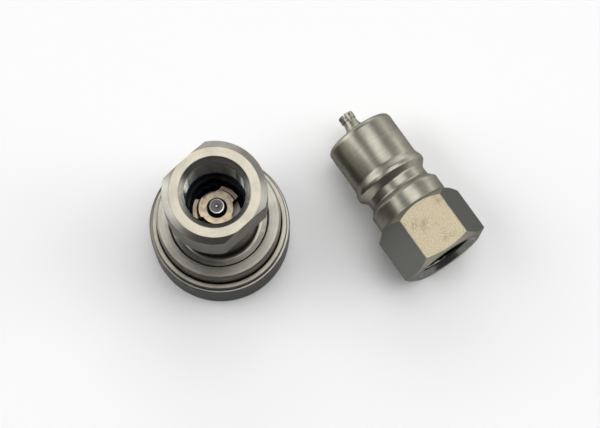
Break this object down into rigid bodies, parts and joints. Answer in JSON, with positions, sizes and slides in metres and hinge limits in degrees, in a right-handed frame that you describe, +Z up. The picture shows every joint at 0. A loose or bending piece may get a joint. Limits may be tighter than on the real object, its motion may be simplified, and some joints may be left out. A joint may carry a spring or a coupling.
{
  "type": "quick disconnect coupler",
  "caption": "Ball-locking poppet-valved quick disconnect coupling in two halves: a socket with a knock-back sleeve standing on its mouth, and a hexagon-ended plug lying beside it.",
  "frame": {"origin": "on the socket's axis in the plane of its mouth, which is the surface that both halves stand on", "axes": "+Z up the socket's axis towards its port; +X from the plug's nose towards its hexagon; +Y from the socket to the plug"},
  "size_m": [0.0731, 0.0925, 0.0682],
  "materials": {
    "socket_steel": "turned stainless steel, satin",
    "sleeve_steel": "turned stainless steel, satin",
    "plug_steel": "turned stainless steel, milled hexagon",
    "valve_steel": "turned stainless steel",
    "guide_steel": "stamped, yellowish passivated",
    "spring_steel": "drawn spring wire",
    "ring_steel": "flat snap ring, dull",
    "ball_steel": "polished hardened balls",
    "seal_rubber": "moulded nitrile, matt",
    "backup_plastic": "white fluoropolymer"
  },
  "bodies": {
    "socket_body": {"socket_front_body": "socket_steel", "socket_rear_body": "socket_steel", "body_joint_o_ring": "seal_rubber", "interface_o_ring": "seal_rubber", "backup_ring": "backup_plastic", "sleeve_retaining_ring": "ring_steel", "socket_valve_guide": "guide_steel", "socket_guide_ring": "ring_steel", "socket_poppet_spring": "spring_steel"},
    "spring_coil": {"sleeve_spring": "spring_steel"},
    "sleeve": {"sleeve": "sleeve_steel"},
    "socket_poppet": {"socket_poppet": "valve_steel", "socket_poppet_seal": "seal_rubber"},
    "plug_body": {"plug_body": "plug_steel", "plug_valve_guide": "guide_steel", "plug_guide_ring": "ring_steel", "plug_poppet_spring": "spring_steel"},
    "plug_poppet": {"plug_poppet": "valve_steel", "plug_poppet_seal": "seal_rubber"},
    "locking_ball_1": {"locking_ball_1": "ball_steel"},
    "locking_ball_2": {"locking_ball_2": "ball_steel"},
    "locking_ball_3": {"locking_ball_3": "ball_steel"},
    "locking_ball_4": {"locking_ball_4": "ball_steel"},
    "locking_ball_5": {"locking_ball_5": "ball_steel"},
    "locking_ball_6": {"locking_ball_6": "ball_steel"},
    "locking_ball_7": {"locking_ball_7": "ball_steel"},
    "locking_ball_8": {"locking_ball_8": "ball_steel"}
  },
  "joints": [
    {"name": "sleeve_turn", "type": "hinge", "parent": "socket_body", "child": "spring_coil", "pos_m": [0, 0, 0.0052], "axis": [0, 0, 1], "continuous": true},
    {"name": "sleeve_slide", "type": "slide", "parent": "spring_coil", "child": "sleeve", "axis": [0, 0, 1], "range_m": [0, 0.0038], "stiffness_N_per_m": 3000, "springref_m": -0.004, "deforming": ["sleeve_spring"]},
    {"name": "ball_1_slide", "type": "slide", "parent": "socket_body", "child": "locking_ball_1", "axis": [1, 0, 0], "range_m": [0, 0.0017]},
    {"name": "ball_2_slide", "type": "slide", "parent": "socket_body", "child": "locking_ball_2", "axis": [0.7071, 0.7071, 0], "range_m": [0, 0.0017]},
    {"name": "ball_3_slide", "type": "slide", "parent": "socket_body", "child": "locking_ball_3", "axis": [0, 1, 0], "range_m": [0, 0.0017]},
    {"name": "ball_4_slide", "type": "slide", "parent": "socket_body", "child": "locking_ball_4", "axis": [-0.7071, 0.7071, 0], "range_m": [0, 0.0017]},
    {"name": "ball_5_slide", "type": "slide", "parent": "socket_body", "child": "locking_ball_5", "axis": [-1, 0, 0], "range_m": [0, 0.0017]},
    {"name": "ball_6_slide", "type": "slide", "parent": "socket_body", "child": "locking_ball_6", "axis": [-0.7071, -0.7071, 0], "range_m": [0, 0.0017]},
    {"name": "ball_7_slide", "type": "slide", "parent": "socket_body", "child": "locking_ball_7", "axis": [0, -1, 0], "range_m": [0, 0.0017]},
    {"name": "ball_8_slide", "type": "slide", "parent": "socket_body", "child": "locking_ball_8", "axis": [0.7071, -0.7071, 0], "range_m": [0, 0.0017]},
    {"name": "socket_poppet_slide", "type": "slide", "parent": "socket_body", "child": "socket_poppet", "axis": [0, 0, 1], "range_m": [0, 0.0042], "stiffness_N_per_m": 1000, "springref_m": -0.006, "deforming": ["socket_poppet_spring"]},
    {"name": "plug_lift", "type": "slide", "parent": "socket_body", "child": "plug_body", "axis": [0, 0, 1], "range_m": [0, 0.08]},
    {"name": "plug_poppet_slide", "type": "slide", "parent": "plug_body", "child": "plug_poppet", "axis": [0.9984, 0, 0.0571], "range_m": [0, 0.0042], "stiffness_N_per_m": 1000, "springref_m": -0.006, "deforming": ["plug_poppet_spring"]}
  ],
  "couplings": [
    {"joint": "ball_1_slide", "follows": "sleeve_slide", "ratio": 0.44737},
    {"joint": "ball_2_slide", "follows": "sleeve_slide", "ratio": 0.44737},
    {"joint": "ball_3_slide", "follows": "sleeve_slide", "ratio": 0.44737},
    {"joint": "ball_4_slide", "follows": "sleeve_slide", "ratio": 0.44737},
    {"joint": "ball_5_slide", "follows": "sleeve_slide", "ratio": 0.44737},
    {"joint": "ball_6_slide", "follows": "sleeve_slide", "ratio": 0.44737},
    {"joint": "ball_7_slide", "follows": "sleeve_slide", "ratio": 0.44737},
    {"joint": "ball_8_slide", "follows": "sleeve_slide", "ratio": 0.44737}
  ]
}
